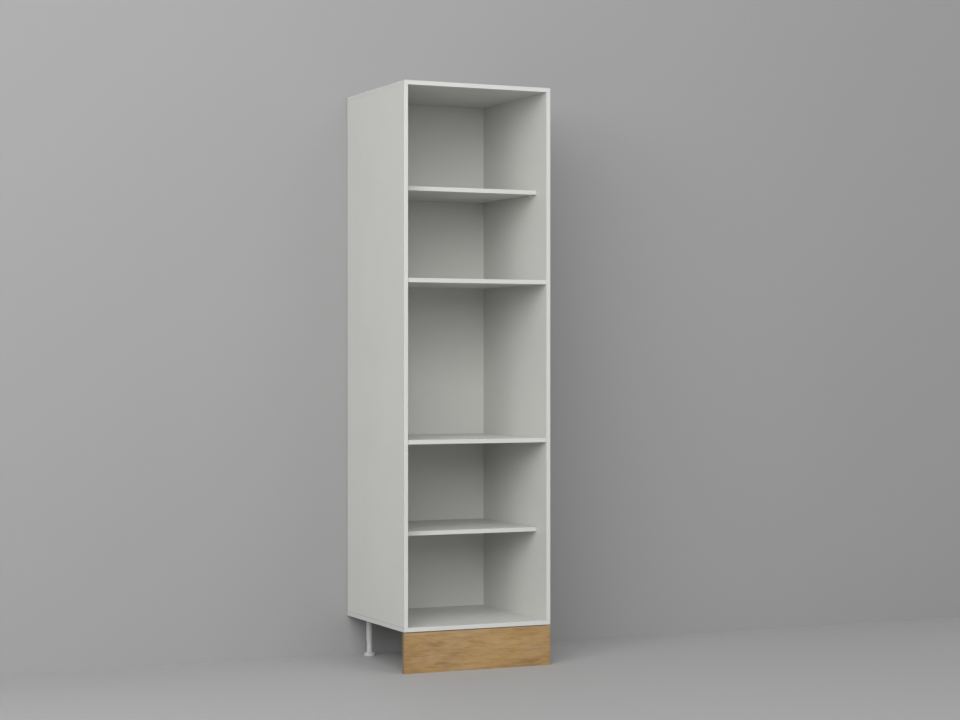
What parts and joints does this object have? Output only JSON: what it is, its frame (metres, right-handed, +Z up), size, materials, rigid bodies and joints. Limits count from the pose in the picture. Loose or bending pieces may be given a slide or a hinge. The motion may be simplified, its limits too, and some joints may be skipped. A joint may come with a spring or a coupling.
{
  "type": "pantry cabinet",
  "caption": "Tall open-fronted storage cabinet of white faced board with fixed and adjustable shelves, standing on levelling legs behind an oak-effect clip-on plinth.",
  "frame": {"origin": "on the floor, below the middle of the carcass", "axes": "+X to the right seen from the open front, -Y out of the front, +Z up"},
  "size_m": [0.6, 0.586, 2.219],
  "materials": {
    "white_faced_board": "particle board faced with white melamine, fine pearl texture, satin; raw chipboard where a rear edge is not banded",
    "white_edge_band": "white edge band, satin, edges rounded",
    "oak_faced_board": "particle board faced with oak-pattern melamine, grain along the plinth, satin",
    "oak_edge_band": "oak-pattern edge band, satin",
    "beech_dowel": "plain fluted beech",
    "zinc_plated_screw": "bright zinc plate",
    "zinc_plated_sheet": "zinc-plated folded sheet",
    "white_support_plastic": "white moulded plastic, satin",
    "clip_plastic": "pale moulded plastic, satin",
    "leg_plastic": "off-white moulded plastic, satin"
  },
  "bodies": {
    "carcass": {"back_panel": "white_faced_board", "back_panel_screws": "zinc_plated_screw", "bottom_panel": "white_faced_board", "bottom_panel_edge_bands": "white_edge_band", "carcass_dowels": "beech_dowel", "front_left_leg_socket": "leg_plastic", "front_left_leg_tube": "leg_plastic", "front_right_leg_socket": "leg_plastic", "front_right_leg_tube": "leg_plastic", "left_side_edge_band": "white_edge_band", "left_side_panel": "white_faced_board", "left_wall_bracket": "zinc_plated_sheet", "leg_socket_screws": "zinc_plated_screw", "lower_fixed_shelf": "white_faced_board", "lower_fixed_shelf_edge_band": "white_edge_band", "lower_shelf_supports": "white_support_plastic", "rear_left_leg_socket": "leg_plastic", "rear_left_leg_tube": "leg_plastic", "rear_right_leg_socket": "leg_plastic", "rear_right_leg_tube": "leg_plastic", "right_side_edge_band": "white_edge_band", "right_side_panel": "white_faced_board", "right_wall_bracket": "zinc_plated_sheet", "top_panel": "white_faced_board", "top_panel_edge_bands": "white_edge_band", "upper_fixed_shelf": "white_faced_board", "upper_fixed_shelf_edge_band": "white_edge_band", "upper_shelf_supports": "white_support_plastic", "wall_bracket_screws": "zinc_plated_screw"},
    "lower_shelf": {"lower_adjustable_shelf": "white_faced_board", "lower_adjustable_shelf_edge_band": "white_edge_band"},
    "upper_shelf": {"upper_adjustable_shelf": "white_faced_board", "upper_adjustable_shelf_edge_band": "white_edge_band"},
    "plinth": {"left_plinth_bracket": "clip_plastic", "left_plinth_clip": "clip_plastic", "left_plinth_edge_band": "oak_edge_band", "plinth_board": "oak_faced_board", "plinth_bracket_screws": "zinc_plated_screw", "right_plinth_bracket": "clip_plastic", "right_plinth_clip": "clip_plastic", "right_plinth_edge_band": "oak_edge_band"},
    "front_left_foot": {"front_left_foot_pad": "leg_plastic"},
    "front_left_screw": {"front_left_levelling_screw": "leg_plastic"},
    "front_right_foot": {"front_right_foot_pad": "leg_plastic"},
    "front_right_screw": {"front_right_levelling_screw": "leg_plastic"},
    "rear_left_foot": {"rear_left_foot_pad": "leg_plastic"},
    "rear_left_screw": {"rear_left_levelling_screw": "leg_plastic"},
    "rear_right_foot": {"rear_right_foot_pad": "leg_plastic"},
    "rear_right_screw": {"rear_right_levelling_screw": "leg_plastic"}
  },
  "joints": [
    {"name": "lower_shelf_slide", "type": "slide", "parent": "carcass", "child": "lower_shelf", "axis": [0, -1, 0], "range_m": [0, 0.19]},
    {"name": "upper_shelf_slide", "type": "slide", "parent": "carcass", "child": "upper_shelf", "axis": [0, -1, 0], "range_m": [0, 0.19]},
    {"name": "plinth_pull", "type": "slide", "parent": "carcass", "child": "plinth", "axis": [0, -1, 0], "range_m": [0, 0.06]},
    {"name": "front_left_foot_height", "type": "slide", "parent": "carcass", "child": "front_left_foot", "axis": [0, 0, -1], "range_m": [0, 0.02]},
    {"name": "front_left_screw_turn", "type": "hinge", "parent": "front_left_foot", "child": "front_left_screw", "pos_m": [-0.233, -0.223, 0.013], "axis": [0, 0, 1], "range_deg": [0, 1801]},
    {"name": "front_right_foot_height", "type": "slide", "parent": "carcass", "child": "front_right_foot", "axis": [0, 0, -1], "range_m": [0, 0.02]},
    {"name": "front_right_screw_turn", "type": "hinge", "parent": "front_right_foot", "child": "front_right_screw", "pos_m": [0.233, -0.223, 0.013], "axis": [0, 0, 1], "range_deg": [0, 1801]},
    {"name": "rear_left_foot_height", "type": "slide", "parent": "carcass", "child": "rear_left_foot", "axis": [0, 0, -1], "range_m": [0, 0.02]},
    {"name": "rear_left_screw_turn", "type": "hinge", "parent": "rear_left_foot", "child": "rear_left_screw", "pos_m": [-0.233, 0.227, 0.013], "axis": [0, 0, 1], "range_deg": [0, 1801]},
    {"name": "rear_right_foot_height", "type": "slide", "parent": "carcass", "child": "rear_right_foot", "axis": [0, 0, -1], "range_m": [0, 0.02]},
    {"name": "rear_right_screw_turn", "type": "hinge", "parent": "rear_right_foot", "child": "rear_right_screw", "pos_m": [0.233, 0.227, 0.013], "axis": [0, 0, 1], "range_deg": [0, 1801]}
  ],
  "couplings": [
    {"joint": "front_left_screw_turn", "follows": "front_left_foot_height", "rad_per_m": 1570.8},
    {"joint": "front_right_screw_turn", "follows": "front_right_foot_height", "rad_per_m": 1570.8},
    {"joint": "rear_left_screw_turn", "follows": "rear_left_foot_height", "rad_per_m": 1570.8},
    {"joint": "rear_right_screw_turn", "follows": "rear_right_foot_height", "rad_per_m": 1570.8}
  ]
}
